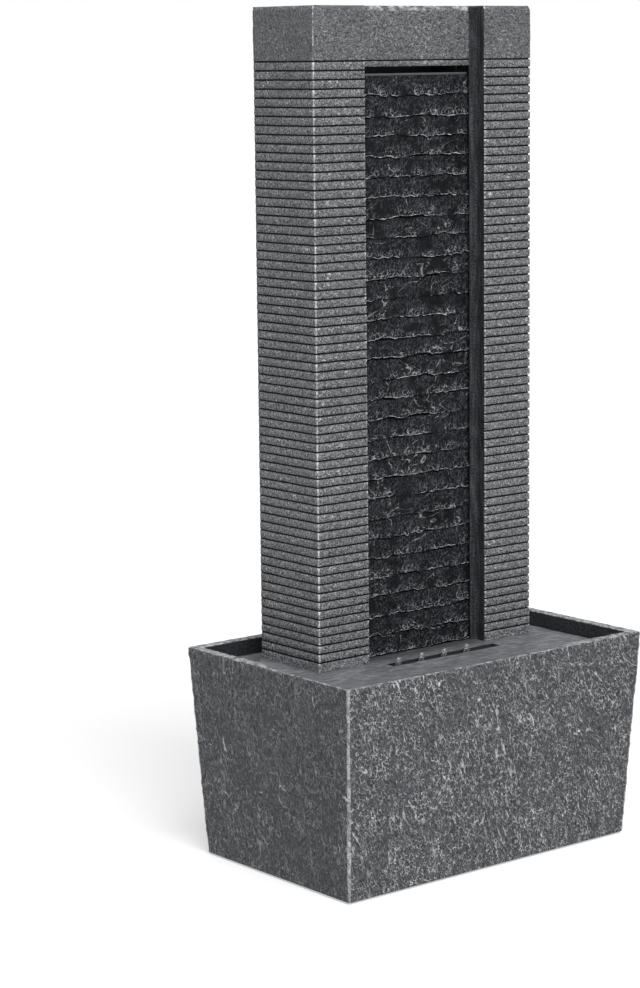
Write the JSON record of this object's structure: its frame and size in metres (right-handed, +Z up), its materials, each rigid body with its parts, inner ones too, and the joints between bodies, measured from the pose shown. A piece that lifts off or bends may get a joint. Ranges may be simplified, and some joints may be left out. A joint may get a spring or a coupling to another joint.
{
  "type": "garden fountain",
  "caption": "Tabletop garden fountain: a tapered basin, a deck with small lights in a slot, and a grooved tower whose recessed split-slate wall carries falling water back to a pump.",
  "frame": {"origin": "on the ground, under the middle of the basin", "axes": "+Z up, +X to the right of someone who faces the water wall, -Y towards that person"},
  "size_m": [0.343, 0.222, 0.743],
  "materials": {
    "cast_stone": "stone-filled cast resin, stained dark grey and dry-brushed light along its edges",
    "slate": "split slate, blue-black, satin where it is wet",
    "rubber": "matt black rubber",
    "steel": "stainless steel",
    "grey_plastic": "matt grey moulded plastic",
    "black_plastic": "matt black moulded plastic",
    "hose_vinyl": "smoke-clear flexible vinyl",
    "cable_sheath": "black cable sheath",
    "light_clear": "clear epoxy dome",
    "circuit_board": "green lacquered board",
    "core_iron": "laminated iron",
    "coil_copper": "enamelled copper winding",
    "white_plastic": "light moulded plastic",
    "magnet": "dark sintered magnet",
    "shaft_ceramic": "polished white ceramic",
    "foam": "open-cell filter foam",
    "cup_silicone": "translucent silicone rubber"
  },
  "bodies": {
    "basin_unit": {"basin": "cast_stone", "foot_front_left": "rubber", "foot_front_right": "rubber", "foot_back_left": "rubber", "foot_back_right": "rubber", "cable_grommet": "rubber", "pump_body": "black_plastic", "pump_rear_cap": "black_plastic", "stator_core": "core_iron", "stator_coil": "coil_copper", "pump_cover": "black_plastic", "chamber_seal": "rubber", "impeller_shaft": "shaft_ceramic", "front_bush": "rubber", "rear_bush": "rubber", "outlet_barb": "black_plastic", "suction_cups": "cup_silicone"},
    "tower_unit": {"deck": "cast_stone", "tower_shell": "cast_stone", "rock_panel": "slate", "panel_screws": "steel", "spill_trough": "grey_plastic", "trough_screws": "steel", "back_cover": "grey_plastic", "back_cover_screws": "steel", "tower_bolts": "steel", "tower_washers": "steel", "tower_nuts": "steel", "riser_hose": "hose_vinyl", "hose_clamp": "steel", "hose_clamp_screw": "steel", "hose_clip": "black_plastic", "hose_clip_screws": "steel", "led_bar": "black_plastic", "led_bar_cap": "black_plastic", "led_board": "circuit_board", "led_bar_screws": "steel", "led_1": "light_clear", "led_2": "light_clear", "led_3": "light_clear", "led_4": "light_clear", "led_lead": "cable_sheath", "led_plug": "black_plastic"},
    "drain": {"drain_plug": "rubber", "drain_seal": "rubber"},
    "strainer": {"intake_strainer": "black_plastic", "filter_foam": "foam"},
    "knob": {"flow_knob": "white_plastic"},
    "rotor": {"impeller": "white_plastic", "rotor_magnet": "magnet"}
  },
  "joints": [
    {"name": "tower_lift", "type": "slide", "parent": "basin_unit", "child": "tower_unit", "axis": [0, 0, 1], "range_m": [0, 0.15]},
    {"name": "impeller_spin", "type": "hinge", "parent": "basin_unit", "child": "rotor", "pos_m": [0, 0.038, 0.0405], "axis": [1, 0, 0], "continuous": true},
    {"name": "strainer_pull", "type": "slide", "parent": "basin_unit", "child": "strainer", "axis": [-1, 0, 0], "range_m": [0, 0.03]},
    {"name": "flow_turn", "type": "hinge", "parent": "strainer", "child": "knob", "pos_m": [-0.0398, 0.038, 0.0405], "axis": [1, 0, 0], "range_deg": [0, 90]},
    {"name": "drain_pull", "type": "slide", "parent": "basin_unit", "child": "drain", "axis": [0, 1, 0], "range_m": [0, 0.03]}
  ]
}
